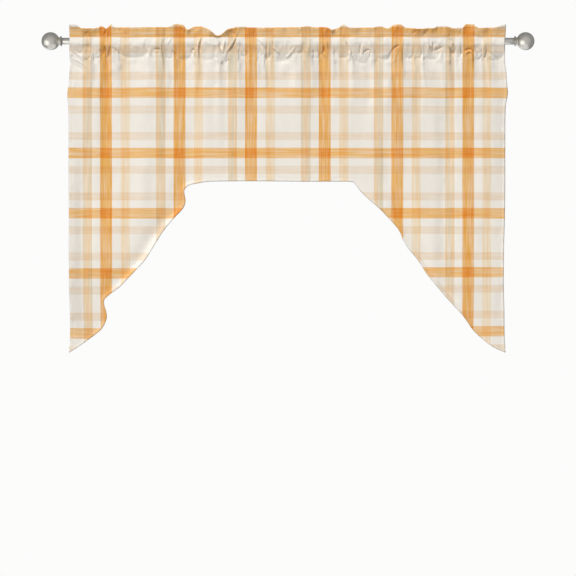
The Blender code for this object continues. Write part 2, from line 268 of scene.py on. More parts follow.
# Seeded unevenness: height, size across, size down (mm), seed
UNEVEN = {
    "tuck_across": (3.2, 22, 17, 3), "tuck_across_fine": (1.4, 9, 9, 4),
    "tuck_down": (3.0, 19, 15, 5), "crease_wander": (0.6, 8, 8, 6), "body": (1.1, 75, 190, 7),
    "body_fine": (0.5, 34, 90, 8), "pocket_fine": (0.35, 6, 11, 9), "pocket": (0.8, 14, 16, 16),
    "crinkle": (1.7, 17, 23, 18), "seam_pucker": (0.35, 4.5, 22, 17),
    "side_pucker": (1.2, 14, 11, 10), "upper_seam": (0.5, 26, 1, 11), "frill_edge": (0.7, 9, 1, 12),
    "frill": (2.4, 17, 80, 13), "frill_fine": (1.3, 8, 26, 14), "frill_crinkle": (1.4, 13, 19, 19),
    "back": (0.6, 13, 30, 15),
}

# Grid of the cloth: lowest and highest place along its path, row height, column width (mm)
ZONES = (
    (-880, -122, 10.0, 5.4),
    (-122, -62, 6.0, 3.6),
    (-62, 17, 2.6, 2.0),
    (17, 47, 3.0, 3.0),
    (47, 77, 5.0, 5.0),
    (77, 158, 5.4, 5.4),
)

# Rows of points: on the edges, inside the hems, across their turned layer (share of its width),
# beside each crease (share of its width), and below and above the edge of each tuck (mm)
EDGE_SPACING = 4.5 * MM
BACK_SPACING = 5.4 * MM
HEM_ROWS = (2.5 * MM, 5.5 * MM, 7.6 * MM, HEM_STITCH, 9.6 * MM, 12.5 * MM)
TURNED_ROWS = (0.25, 0.6, 0.86, 1.0)
CREASE_ROWS = (0.0, -0.75, 0.75, -1.6, 1.6)
TUCK_ROWS = (-5.0, -2.6, -0.8, 0.9, 2.8)
FOLD_GAP = 0.7 * MM


# ---- small shape helpers
def ease(table, place, column=1):
    """Read a table in mm at places in metres, on a smooth curve that never overshoots its rows."""
    rows = np.array(sorted(table), float)
    keys, values = rows[:, 0], rows[:, column]
    slopes = np.diff(values) / np.diff(keys)
    product = slopes[1:] * slopes[:-1]
    total = slopes[1:] + slopes[:-1]
    turns = np.where(product > 0, 2.0 * product / np.where(product > 0, total, 1.0), 0.0)
    turns = np.concatenate(((0.0,), turns, (0.0,)))
    at = np.clip(place / MM, keys[0], keys[-1])
    index = np.clip(np.searchsorted(keys, at) - 1, 0, len(keys) - 2)
    width = keys[index + 1] - keys[index]
    t = (at - keys[index]) / width
    blend = t * t * (3.0 - 2.0 * t)
    curve = values[index] * (1.0 - blend) + values[index + 1] * blend
    curve += width * (turns[index] * t * (1 - t) ** 2 - turns[index + 1] * t * t * (1 - t))
    return curve * MM


def step(value, start, end):
    """0 before start, 1 after end, smooth between."""
    part = np.clip((value - start) / (end - start), 0.0, 1.0)
    return part * part * (3.0 - 2.0 * part)


def below(z, span):
    """0 above a span of depths below the rod's axis (mm), 1 under it, smooth between."""
    return step(-z, span[0] * MM, span[1] * MM)


def bell(distance, width):
    """1 at no distance, smoothly down to almost nothing at two widths."""
    return np.exp(-(distance / width) ** 2)


def bump(distance, half_width):
    """1 at no distance, smoothly down to 0 at the half width."""
    share = np.minimum(np.abs(distance) / half_width, 1.0)
    return 0.5 + 0.5 * np.cos(math.pi * share)


def noise(x, z, size_x, size_z, seed):
    """Smooth seeded noise from -1 to 1 with features of the given sizes."""
    lattice = np.random.RandomState(seed).uniform(-1.0, 1.0, (64, 64))
    gx, gz = x / size_x + 1000.0, z / size_z + 1000.0
    ix, iz = np.floor(gx).astype(int), np.floor(gz).astype(int)
    fx, fz = step(gx - ix, 0.0, 1.0), step(gz - iz, 0.0, 1.0)
    low, high = (lattice[ix % 64, row % 64] * (1 - fx) + lattice[(ix + 1) % 64, row % 64] * fx
                 for row in (iz, iz + 1))
    return low * (1 - fz) + high * fz


def uneven(name, x, z=0.0):
    """One layer of the seeded unevenness, in metres."""
    height, wide, tall, seed = UNEVEN[name]
    return height * MM * noise(x, z, wide * MM, tall * MM, seed)


def ridges(name, x, z):
    """Crisp wandering ridges, from 0 to the layer's height, where its noise changes sign."""
    height, wide, tall, seed = UNEVEN[name]
    return height * MM * (1.0 - np.abs(noise(x, z, wide * MM, tall * MM, seed))) ** 4


def tail_part(row, x, z):
    """A distance that grows into one tail and towards its point, from a row of such a table."""
    side, distance, inner, outer, top, low = row
    return distance * MM * step(side * x, inner * MM, outer * MM) * step(-z, top * MM, low * MM)


def strokes(table, x, z):
    """Sum of the troughs and ridges of a table of creases, at points in metres."""
    total = np.zeros_like(x)
    for x0, z0, x1, z1, width, height, *bowed in table:
        bow = sum(bowed) * MM
        start, end = np.array((x0, z0)) * MM, np.array((x1, z1)) * MM
        length = np.linalg.norm(end - start)
        along = (end - start) / length
        reach = width * 3 * MM + abs(bow)
        near = ((x > min(start[0], end[0]) - reach) & (x < max(start[0], end[0]) + reach)
                & (z > min(start[1], end[1]) - reach) & (z < max(start[1], end[1]) + reach))
        dx, dz = x[near] - start[0], z[near] - start[1]
        share = (dx * along[0] + dz * along[1]) / length
        off = dx * -along[1] + dz * along[0]
        inside = np.clip(share, 0.0, 1.0)
        off = off - bow * 4 * inside * (1 - inside)
        beyond = (share - inside) * length
        distance = np.sqrt(off * off + beyond * beyond) / (width * MM)
        taper = np.minimum(1.0, 3.0 * np.minimum(inside, 1 - inside) + 0.25)
        total[near] += height * MM * taper * np.exp(-distance * distance)
    return total


# ---- shape of the hanging cloth
def edge_x(x, z):
    """Real place of a nominal column at a height, between the uneven side edges."""
    left, right = ease(SIDE_EDGES, z, 1), ease(SIDE_EDGES, z, 2)
    return left + (right - left) * ((x - LEFT_X) / (RIGHT_X - LEFT_X))


def nominal_x(x, z):
    """The nominal column that edge_x puts at a place."""
    left, right = ease(SIDE_EDGES, z, 1), ease(SIDE_EDGES, z, 2)
    return LEFT_X + (x - left) / (right - left) * (RIGHT_X - LEFT_X)


def gather_over_rod(x):
    """How far the gathers lift the cloth where it goes over the rod."""
    return sum(rod * MM * bump(x - place * MM, half * MM)
               for place, half, rod, body, reach, drift in GATHERS)


def gather_in_body(x, z):
    """How far the gathers push the body forward, less and less as they go down."""
    out = np.zeros_like(x)
    for place, half, rod, body, reach, drift in GATHERS:
        down = np.clip((LOWER_STITCH_Z - z) / (reach * MM), 0.0, 1.0)
        centre = (place + drift * down) * MM
        out += body * MM * (1.0 - down) * bump(x - centre, half * MM * (1.0 + 0.9 * down))
    return out


def forward_share(x, z):
    """1 where the front layer lies over the rod, 0 in the body's plane; and the tucks' own relief."""
    share = np.exp(np.minimum(z - TUCK_TOP, 0.0) / FALL_BACK)
    fall = share.copy()
    crease = np.zeros_like(x)
    for centre, half, low, depth in TUCKS:
        across = (x - centre * MM) / (half * MM)
        edge = np.clip(1.0 - across * across, 0.0, 1.0)
        # a tuck deeper than a full one starts higher and falls back sooner
        deep = max(depth - FULL_TUCK, 0.0)
        top = TUCK_TOP + 2.5 * MM * deep
        bottom = low * MM + 0.5 * (TUCK_TOP - low * MM) * (1.0 - edge) ** 1.5
        down = np.clip((top - z) / (top - bottom), 0.0, 1.0)
        pull = np.minimum(1.0, depth / FULL_TUCK) * edge ** 0.45
        tucked = 1.0 - down ** (TUCK_CURVE - 0.25 * deep)
        fall = np.minimum(fall, share * (1.0 - pull) + pull * tucked)
        # a low ridge above the tuck's lower edge, and a crease along it
        lip = 0.25 * bell(z - bottom + 7 * MM, 5 * MM) - 0.5 * bell(z - bottom - 1.5 * MM, 2.8 * MM)
        crease += edge ** 0.3 * lip
    return fall, crease * MM


def front_relief(x, z):
    """How far the front layer stands out towards the room from its plain path."""
    wander_x = x + uneven("tuck_across", x, z) + uneven("tuck_across_fine", x, z)
    wander_z = z + uneven("tuck_down", x, z)
    hang = below(z, ROD_TO_HANG)
    down = below(z, POCKET_TO_BODY)
    out = gather_over_rod(x) * (1.0 - hang) + gather_in_body(x, z) * hang
    fall, crease = forward_share(wander_x, wander_z)
    out += crease - (WRAP_RADIUS + BODY_Y) * (1.0 - fall)
    # belly just under the rod's axis, where no tuck takes it back
    out += 1.4 * MM * bell(z + 7 * MM, 9 * MM) * fall
    out += CREASE_RISE * strokes(CREASES, x + uneven("crease_wander", x, z), z)
    out += strokes(SOFT_FOLDS, wander_x, wander_z)
    out += down * (uneven("body", x, z) + uneven("body_fine", x, z))
    small = below(z, POCKET_START) * (1.0 - 0.6 * down)
    patches = 0.6 + 0.8 * noise(x, z, 60 * MM, 90 * MM, 20)
    out += small * (uneven("pocket", x, z) + uneven("pocket_fine", x, z))
    out += small * patches * ridges("crinkle", wander_x, wander_z)
    out += bell(z - LOWER_STITCH_Z, 9 * MM) * uneven("seam_pucker", x, z)
    sides = bell(x - LEFT_X, 18 * MM) + bell(RIGHT_X - x, 18 * MM)
    out += down * sides * uneven("side_pucker", x, z)
    return out


def front_y(x, z, edge_distance):
    """Depth of the front layer below the rod's axis."""
    y = -WRAP_RADIUS - front_relief(x, z)
    y += sum(tail_part(row, x, z) for row in TAIL_SWING)
    # side edges, then the lower edge's curl and the hollow inside it
    y -= ease(SIDE_CURL, z, 1) * bell(x - LEFT_X, 34 * MM)
    y += ease(SIDE_CURL, z, 2) * bell(RIGHT_X - x, 24 * MM)
    low = below(z, BODY_TO_TAILS)
    spread = np.where(edge_distance > 15 * MM, 21 * MM, 11 * MM)
    y -= low * ease(EDGE_CURL, x) * bell(edge_distance, 9 * MM)
    y += low * ease(EDGE_CURL, x, 2) * bell(edge_distance - 15 * MM, spread)
    # the stitches sink into the cloth along the hem and the lower seam
    y += 0.45 * MM * bell(edge_distance - HEM_STITCH, 1.1 * MM)
    y += 0.5 * MM * bell(z - LOWER_STITCH_Z, 1.5 * MM)
    rod = np.sqrt(np.maximum(ROD_RADIUS ** 2 - z ** 2, 0.0)) + ROD_CLEARANCE
    return np.where(z > -ROD_RADIUS, np.minimum(y, -rod), y)


def stitch_shift(x):
    """How the upper stitched line wanders in depth."""
    return -0.25 * gather_over_rod(x) + uneven("upper_seam", x)


def wrap_path(share, side, angle_end, stitch):
    """Plain path round the rod up to the seam, in front (side -1) or behind: y, z and the way out."""
    arc = WRAP_RADIUS * angle_end
    turned = np.array((side * WRAP_RADIUS * math.cos(angle_end), WRAP_RADIUS * math.sin(angle_end)))
    rise = share * (arc + np.linalg.norm(stitch - turned))
    angle = np.minimum(rise, arc) / WRAP_RADIUS
    y, z = side * WRAP_RADIUS * np.cos(angle), WRAP_RADIUS * np.sin(angle)
    past = np.maximum(rise - arc, 0.0) / np.linalg.norm(stitch - turned)
    y = y + (stitch[0] - turned[0]) * past
    z = z + (stitch[1] - turned[1]) * past
    return y, z, side * np.cos(angle), np.sin(angle)


def frill_height(x):
    """Height of the frill's top over the upper seam."""
    return ease(FRILL_TOP, x) - STITCH_Z + uneven("frill_edge", x)


def frill_length(x):
    """Real length of a frill layer, which is longer than its height where it folds over."""
    top = frill_height(x)
    return np.maximum(top, np.minimum(FRILL_STITCHED, top + FRILL_SLACK))


def frill_point(x, share, side):
    """Frill layers: share from 0 at the stitches to 1 at the top, side 1 in front and -1 behind."""
    top, length = frill_height(x), frill_length(x)
    folded = np.arccos(np.clip(top / length, 0.08, 1.0))
    lean = -np.maximum(folded, np.radians(ease(FRILL_TILT, x) / MM))
    along = share * length
    ripple = (uneven("frill", x, along) + uneven("frill_fine", x, along)) * share ** 0.8
    ripple += ridges("frill_crinkle", x, along) * share ** 0.5
    ripple += 0.35 * gather_over_rod(x) * share * (1.0 - share)
    ripple += strokes(FRILL_CREASES, x, STITCH_Z + along)
    # the layers part above the seam and close again in a rounded top
    wide = PINCH + (FRILL_GAP - PINCH) * step(along, 0.0, 7 * MM)
    wide = wide * np.sqrt(np.clip(1.0 - (np.clip(share - 0.86, 0, 1) / 0.14) ** 2, 0.0, 1.0))
    out = ripple + side * wide / 2
    y = STITCH_Y + stitch_shift(x) + along * share ** FRILL_BOW * np.sin(lean) - out * np.cos(lean)
    z = STITCH_Z + along * np.cos(lean) + out * np.sin(lean)
    return y, z


def cloth_places(x, rise, edge_distance):
    """Middle of the cloth for nominal columns and places along its path, in metres."""
    y, z = np.zeros_like(x), np.zeros_like(x)
    body = rise <= 0.0
    z[body] = rise[body]
    y[body] = front_y(x[body], z[body], edge_distance[body])

    wrap = (rise > 0.0) & (rise <= STITCH_RISE)
    xs, rs = x[wrap], rise[wrap]
    plain_y, plain_z, out_y, out_z = wrap_path(rs / STITCH_RISE, -1, WRAP_ANGLE, STITCH_POINT)
    fade = 1.0 - step(rs, 0.45 * STITCH_RISE, STITCH_RISE)
    out = np.maximum(front_relief(xs, plain_z) * (0.25 + 0.75 * fade), -0.2 * MM) * (0.2 + 0.8 * fade)
    y[wrap] = plain_y + out * out_y + stitch_shift(xs) * step(rs, 0.0, STITCH_RISE)
    z[wrap] = plain_z + out * out_z

    for low, high, side in ((STITCH_RISE, FRILL_TOP_RISE, 1.0), (FRILL_TOP_RISE, BACK_START, -1.0)):
        frill = (rise > low) & (rise <= high)
        share = (rise[frill] - low) / (high - low)
        share = share if side > 0 else 1.0 - share
        y[frill], z[frill] = frill_point(x[frill], share, side)

    # behind the rod: down to the turned edge's fold, then up inside it
    back = rise > BACK_START
    xs = x[back]
    turned = rise[back] > BACK_TURN
    up = np.where(turned, TURN_Z + rise[back] - BACK_TURN, STITCH_RISE - (rise[back] - BACK_START))
    plain_y, plain_z, out_y, out_z = wrap_path(np.maximum(up, 0.0) / STITCH_RISE, 1, BACK_ANGLE, BACK_STITCH)
    out = gather_over_rod(xs + 9 * MM) * 0.9 * (1.0 - step(up, 0.4 * STITCH_RISE, STITCH_RISE))
    out += (uneven("back", xs, up) + UNEVEN["back"][0] * MM) * (1.0 - step(up, 0.0, STITCH_RISE))
    over_y = plain_y + out * out_y + stitch_shift(xs) * step(up, 0.0, STITCH_RISE)
    over_z = plain_z + out * out_z
    joined = step(-up, 4 * MM, -LOWER_STITCH_Z)
    closing = BACK_LAYER - 0.4 * MM * step(-up, 50 * MM, -TURN_Z)
    layer = np.where(turned, TURNED_LAYER, closing)
    sewn_y = front_y(xs, np.minimum(up, 0.0), np.full_like(xs, 1.0)) + layer
    hang_y = np.maximum(sewn_y * joined + (WRAP_RADIUS + out) * (1.0 - joined), sewn_y)
    y[back] = np.where(up > 0.0, over_y, hang_y)
    z[back] = np.where(up > 0.0, over_z, up)
    return np.stack((edge_x(x, z), y, z), axis=1)


def cloth_out(x, rise, edge_distance):
    """Unit vectors towards the cloth's right side."""
    d = 0.3 * MM
    across = cloth_places(x + d, rise, edge_distance) - cloth_places(x - d, rise, edge_distance)
    up = cloth_places(x, rise + d, edge_distance) - cloth_places(x, rise - d, edge_distance)
    out = np.cross(across, up)
    return out / np.maximum(np.linalg.norm(out, axis=1, keepdims=True), 1e-12)


# ---- mesh of the cloth
def smooth_path(points, steps):
    """A Catmull-Rom curve through the points, in metres."""
    points = np.array(points, float) * MM
    ends = np.vstack((points[:1], points, points[-1:]))
    path = []
    for a, b, c, d in zip(ends, ends[1:], ends[2:], ends[3:]):
        for index in range(steps):
            t = index / steps
            path.append(0.5 * (2 * b + (c - a) * t + (2 * a - 5 * b + 4 * c - d) * t * t
                               + (3 * b - a - 3 * c + d) * t ** 3))
    return np.array(path + [points[-1]])


def even_points(path, spacing):
    """Points along a path at an even spacing, with both ends."""
    lengths = np.concatenate(((0.0,), np.cumsum(np.linalg.norm(np.diff(path, axis=0), axis=1))))
    count = max(2, int(round(lengths[-1] / spacing)) + 1)
    at = np.linspace(0.0, lengths[-1], count)
    return np.stack([np.interp(at, lengths, path[:, k]) for k in range(path.shape[1])], axis=1)


def lower_edge():
    """The lower edge as nominal column and height, at even spacing."""
    path = smooth_path(LOWER_EDGE, 6)
    path[:, 0] = nominal_x(path[:, 0], path[:, 1])
    path[0, 0], path[-1, 0] = LEFT_X, RIGHT_X
    return even_points(path, EDGE_SPACING)


def zone_rows():
    """Each zone's rows, from the bottom up, with the height and width of its cells (mm)."""
    for low, high, height, width in ZONES:
        count = int(round((high - low) / height))
        yield (low + (high - low) * np.arange(count) / count) * MM, height, width


def distance_to(points, path):
    """Least distance from each point to a path of straight pieces."""
    best = np.full(len(points), 1.0)
    for a, b in zip(path, path[1:]):
        run = b - a
        share = np.clip(((points - a) @ run) / (run @ run), 0.0, 1.0)
        gap = points - (a + share[:, None] * run)
        best = np.minimum(best, np.hypot(gap[:, 0], gap[:, 1]))
    return best


def nearest(points, others):
    """Least distance from each point to another set of points."""
    tree = KDTree(len(others))
    for index, (a, b) in enumerate(others):
        tree.insert((a, b, 0.0), index)
    tree.balance()
    return np.array([tree.find((a, b, 0.0))[2] for a, b in points])


def inside(points, loop):
    """Which points lie inside a closed loop, by crossing count."""
    hit = np.zeros(len(points), bool)
    for (x0, z0), (x1, z1) in zip(loop, np.roll(loop, -1, axis=0)):
        if z0 != z1:
            crosses = (z0 > points[:, 1]) != (z1 > points[:, 1])
            at = x0 + (points[:, 1] - z0) * (x1 - x0) / (z1 - z0)
            hit ^= crosses & (points[:, 0] < at)
    return hit


def outline():
    """The cloth as (nominal column, place along the path): hemmed edges, back edge, lower edge."""
    hem = lower_edge()
    rows = np.concatenate([rows for rows, height, width in zone_rows()])
    left, right = ([(x, row) for row in rows if corner[1] + 3 * MM < row < BACK_END - 2 * MM]
                   for x, corner in ((LEFT_X, hem[0]), (RIGHT_X, hem[-1])))
    top = even_points(np.array(((LEFT_X, BACK_END), (RIGHT_X, BACK_END))), BACK_SPACING)
    hemmed = np.array(left[::-1] + list(map(tuple, hem)) + right)
    return np.vstack((top[:1], hemmed, top[-1:])), top[::-1][1:-1], hem


def inward(path):
    """Unit vectors to the left of a path, which is the cloth's inside."""
    run = np.gradient(path, axis=0)
    run /= np.linalg.norm(run, axis=1, keepdims=True)
    return np.stack((-run[:, 1], run[:, 0]), axis=1)


def grid_points(loop, hemmed):
    """Inner points of the cloth: rows that follow the hems, then a plain grid."""
    folds = thin_out(fold_points(), FOLD_GAP)
    folds = folds[inside(folds, loop)]
    folds = folds[distance_to(folds, hemmed) > HEM_ROWS[-1] + 1.0 * MM]
    made = [folds]
    normals = inward(hemmed)
    for offset in HEM_ROWS:
        row = hemmed + normals * offset
        row = row[inside(row, loop)]
        made.append(row[distance_to(row, hemmed) > 0.93 * offset])
    for rows, height, width in zone_rows():
        columns = int(round((RIGHT_X - LEFT_X) / (width * MM)))
        xs = np.linspace(LEFT_X, RIGHT_X, columns + 1)
        block = np.stack(np.meshgrid(xs, rows), axis=-1).reshape(-1, 2)
        block = block[(block[:, 1] < BACK_END - 2 * MM) & inside(block, loop)]
        block = block[distance_to(block, hemmed) > HEM_ROWS[-1] + 1.3 * MM]
        made.append(block[nearest(block, folds) > (0.42 * min(height, width) + 0.3) * MM])
    return np.vstack(made)


def fold_points():
    """Points that follow each crease and the lower edge of each tuck, finest first."""
    made = []
    for x0, z0, x1, z1, width, height, *bow in CREASES + FRILL_CREASES:
        length = math.hypot(x1 - x0, z1 - z0)
        count = max(4, int(length / 2.4))
        side = np.array((-(z1 - z0), x1 - x0)) / length
        for k in range(-1, count + 2):
            share = k / count
            inner = min(max(share, 0.0), 1.0)
            middle = np.array((x0 + (x1 - x0) * share, z0 + (z1 - z0) * share))
            middle = middle + side * sum(bow) * 4 * inner * (1 - inner)
            made += [middle + side * width * offset for offset in CREASE_ROWS]
    for centre, half, low, depth in TUCKS:
        count = int(half / 1.1)
        for k in range(-count, count + 1):
            share = k / (count + 1)
            bottom = low - 0.5 * (low + 5.0) * (share * share) ** 1.5
            made += [np.array((centre + half * share, bottom + offset)) for offset in TUCK_ROWS]
    made = np.array(made) * MM
    made[:, 0] = nominal_x(made[:, 0], made[:, 1])
    high = made[:, 1] > STITCH_Z
    made[high, 1] = STITCH_RISE + (made[high, 1] - STITCH_Z) / frill_length(made[high, 0]) * FRILL_ROOM
    arc = (made[:, 1] > 0) & ~high
    made[arc, 1] = made[arc, 1] / STITCH_Z * STITCH_RISE
    return made


def thin_out(points, gap):
    """Drop each point that is nearer than about a gap to an earlier one."""
    kept, cells = [], set()
    for index, (a, b) in enumerate(np.floor(points / gap).astype(int)):
        if not any((a + i, b + j) in cells for i in (-1, 0, 1) for j in (-1, 0, 1)):
            cells.add((a, b))
            kept.append(index)
    return points[kept]


def build_cloth():
    """The whole valance as one closed sheet, with hems turned to its wrong side."""
    hemmed, top, hem = outline()
    loop = np.vstack((hemmed, top))
    inner = grid_points(loop, hemmed)
    flat = np.vstack((loop, inner))
    squeeze = np.array((1.0, 0.6))  # so that triangles may be longer down the cloth than across it
    edges = [(k, (k + 1) % len(loop)) for k in range(len(loop))]
    found = geometry.delaunay_2d_cdt([Vector(p) for p in flat * squeeze], edges, [], 1, 1e-7)
    flat = np.array([tuple(v) for v in found[0]]) / squeeze
    origin = [min(o) if o else -1 for o in found[3]]
    place_of = {o: k for k, o in enumerate(origin) if o >= 0}
    faces = [tuple(f) for f in found[2]]

    distance = distance_to(flat, hemmed)
    points = cloth_places(flat[:, 0], flat[:, 1], distance)

    # turned hems
    corner = np.minimum(np.linalg.norm(hemmed - hem[0], axis=1), np.linalg.norm(hemmed - hem[-1], axis=1))
    limit = np.minimum(HEM_WIDTH, 0.5 * corner + 0.2 * MM)
    normals = inward(hemmed)
    last = [place_of[k] for k in range(len(hemmed))]
    for offset in TURNED_ROWS:
        row = hemmed + normals * (limit * offset)[:, None]
        depth = HEM_STEP * min(1.0, offset * 3)
        away = distance_to(row, hemmed)
        places = cloth_places(row[:, 0], row[:, 1], away)
        places -= cloth_out(row[:, 0], row[:, 1], away) * depth
        start = len(points)
        points = np.vstack((points, places))
        flat = np.vstack((flat, row))
        here = list(range(start, start + len(row)))
        for a, b, c, d in zip(last, last[1:], here[1:], here):
            faces.append((b, a, d, c))
        last = here
    return points, flat, faces


def pattern_place(flat, points):
    """Where each point lies on the flat plaid: across, and up the cloth."""
    up = flat[:, 1].copy()
    wrap = (up > 0) & (up <= STITCH_RISE)
    up[wrap] = points[wrap, 2]
    frill = flat[:, 1] > STITCH_RISE
    past = flat[frill, 1] - STITCH_RISE
    length = frill_length(flat[frill, 0])
    folded = np.where(past < FRILL_ROOM, past / FRILL_ROOM * length,
                      length + np.minimum((past - FRILL_ROOM) / FRILL_ROOM, 1.0) * length)
    up[frill] = STITCH_Z + folded + np.maximum(past - 2 * FRILL_ROOM, 0.0)
    across = points[:, 0]
    lifted = tail_part(BAND_LIFT, across, up)
    return np.stack((across - ease(BAND_SHIFT, across), up - lifted), axis=1)


def thicken(points, faces):
    """Close a sheet: both faces, half a thickness either way, and the rim."""
    tris = np.array([(f[0], f[k], f[k + 1]) for f in faces for k in range(1, len(f) - 1)])
    a, b, c = (points[tris[:, k]] for k in range(3))
    weight = np.cross(b - a, c - a)
    normals = np.zeros_like(points)
    for k in range(3):
        np.add.at(normals, tris[:, k], weight)
    normals /= np.maximum(np.linalg.norm(normals, axis=1, keepdims=True), 1e-12)
    count = len(points)
    both = np.vstack((points + normals * HALF_SHEET, points - normals * HALF_SHEET))
    used = dict.fromkeys((p, q) for f in faces for p, q in zip(f, f[1:] + f[:1]))
    rim = [(q, p, p + count, q + count) for p, q in used if (q, p) not in used]
    behind = [tuple(v + count for v in reversed(f)) for f in faces]
    return both, list(faces) + behind + rim


def add_object(name, data):
    item = bpy.data.objects.new(name, data)
    bpy.context.collection.objects.link(item)
    return item


def make_mesh(name, points, faces):
    mesh = bpy.data.meshes.new(name)
    mesh.from_pydata([tuple(p) for p in points], [], faces)
    mesh.validate()
    mesh.shade_smooth()
    return add_object(name, mesh)


def make_valance():
    """The cloth as a closed mesh, with its flat place on the plaid as UVs."""
    points, flat, faces = build_cloth()
    pattern = pattern_place(flat, points)
    both, all_faces = thicken(points, faces)
    piece = make_mesh("valance_cloth", both, all_faces)
    mesh = piece.data
    layer = mesh.uv_layers.new(name="plaid")
    corners = np.zeros(len(mesh.loops), int)
    mesh.loops.foreach_get("vertex_index", corners)
    layer.uv.foreach_set("vector", np.vstack((pattern, pattern))[corners].astype(np.float32).ravel())
    return piece


def stitch_rows():
    """Each row of stitches: places on the cloth, and which face it lies on (1 right, -1 wrong)."""
    xs = np.arange(LEFT_X + 12 * MM, RIGHT_X - 11 * MM, STITCH_PITCH)
    seams = (LOWER_STITCH_Z, STITCH_RISE - 1.0 * MM, BACK_START + 1.0 * MM,
             BACK_START + STITCH_RISE - LOWER_STITCH_Z)
    rows = [(np.stack((xs, np.full_like(xs, rise)), axis=1), 1) for rise in seams]
    hemmed = outline()[0]
    path = even_points(hemmed, STITCH_PITCH)
    row = path + inward(path) * HEM_STITCH
    row = row[(row[:, 1] < LOWER_STITCH_Z) & (distance_to(row, hemmed) > 0.96 * HEM_STITCH)]
    return rows + [(row, 1), (row, -1)]


def make_stitches():
    """Every stitch as a small spindle of thread that is half sunk in the cloth."""
    half = STITCH_LENGTH / 2
    turns = [math.pi * (0.25 + 0.5 * k) for k in range(4)]
    rings = ((-0.66 * half, 0.8 * THREAD_RADIUS), (0.0, THREAD_RADIUS), (0.66 * half, 0.8 * THREAD_RADIUS))
    shape = [(-half, 0.0, 0.0), (half, 0.0, 0.0)]
    shape += [(place, radius * math.cos(turn), radius * math.sin(turn))
              for place, radius in rings for turn in turns]
    shape = np.array(shape)
    corners = []
    for k in range(4):
        other = (k + 1) % 4
        corners += [(0, 2 + other, 2 + k), (1, 10 + k, 10 + other)]
        corners += [(2 + ring + k, 2 + ring + other, 6 + ring + other, 6 + ring + k) for ring in (0, 4)]
    points, faces = [], []
    for row, face in stitch_rows():
        away = np.full(len(row), 1.0) if row[0, 1] == row[-1, 1] else np.full(len(row), HEM_STITCH)
        middle = cloth_places(row[:, 0], row[:, 1], away)
        out = cloth_out(row[:, 0], row[:, 1], away)
        run = np.gradient(middle, axis=0)
        run /= np.linalg.norm(run, axis=1, keepdims=True)
        side = np.cross(out, run)
        rise = HALF_SHEET + 0.3 * THREAD_RADIUS
        middle = middle + out * (rise if face > 0 else -HEM_STEP - rise)
        for m, r, s, o in zip(middle, run, side, out):
            start = len(points) * len(shape)
            points.append(m + shape[:, :1] * r + shape[:, 1:2] * s + shape[:, 2:] * o)
            faces += [tuple(start + c for c in corner) for corner in corners]
    return make_mesh("valance_stitching", np.vstack(points), faces)


# ---- rod and finials
def make_turned(name, profile, sides=96):
    """A solid turned about X from (place, radius) points whose ends lie on the axis."""
    points, rings, faces = [], [], []
    for place, radius in profile:
        turns = [2 * math.pi * side / sides for side in range(sides if radius else 1)]
        rings.append([len(points) + k for k in range(len(turns))])
        points += [(place, radius * math.sin(turn), radius * math.cos(turn)) for turn in turns]
    for ring, following in zip(rings, rings[1:]):
        for side in range(sides):
            pair = (side, (side + 1) % sides)
            corners = [ring[k % len(ring)] for k in pair]
            corners += [following[k % len(following)] for k in pair[::-1]]
            faces.append(tuple(dict.fromkeys(corners)))
    if profile[0][0] < profile[-1][0]:
        faces = [face[::-1] for face in faces]
    piece = make_mesh(name, points, faces)
    piece.data.set_sharp_from_angle(angle=math.radians(50))
    return piece


# Collar of a finial: place along it, radius over the rod's (mm)
COLLAR = (
    (0.0, 0.2), (0.4, 0.7), (1.2, 1.2), (2.6, 4.4), (3.1, 5.2), (3.5, 5.45), (3.9, 5.2), (4.5, 4.2),
    (6.2, 2.0), (6.8, 1.5),
)


def make_finial(side, name):
    """Flared collar, dark groove and ball."""
    start = ROD_HALF + 0.3 * MM
    profile = [(start, 0.0)]
    profile += [(start + along * MM, ROD_RADIUS + rise * MM) for along, rise in COLLAR]
    neck = ROD_RADIUS + 1.0 * MM
    first = math.asin(neck / BALL_RADIUS)
    edge = BALL_CENTRE - BALL_RADIUS * math.cos(first)
    profile += [(start + 7.4 * MM, neck), (edge - 1.2 * MM, neck), (edge - 0.3 * MM, neck + 0.4 * MM)]
    first += 0.09  # past the neck's rounded edge
    steps = 44
    for k in range(1, steps):
        angle = first + (math.pi - first) * k / steps
        profile.append((BALL_CENTRE - BALL_RADIUS * math.cos(angle), BALL_RADIUS * math.sin(angle)))
    profile.append((BALL_CENTRE + BALL_RADIUS, 0.0))
    return make_turned(name, [(side * place, radius) for place, radius in profile])


def make_rod():
    """Plain tube with softly broken ends."""
    edge = 0.5 * MM
    profile = [(-ROD_HALF, 0.0), (-ROD_HALF, ROD_RADIUS - edge), (-ROD_HALF + edge, ROD_RADIUS)]
    profile += [(place * MM, ROD_RADIUS) for place in range(-600, 601, 100)]
    profile += [(ROD_HALF - edge, ROD_RADIUS), (ROD_HALF, ROD_RADIUS - edge), (ROD_HALF, 0.0)]
    return make_turned("rod_tube", profile)


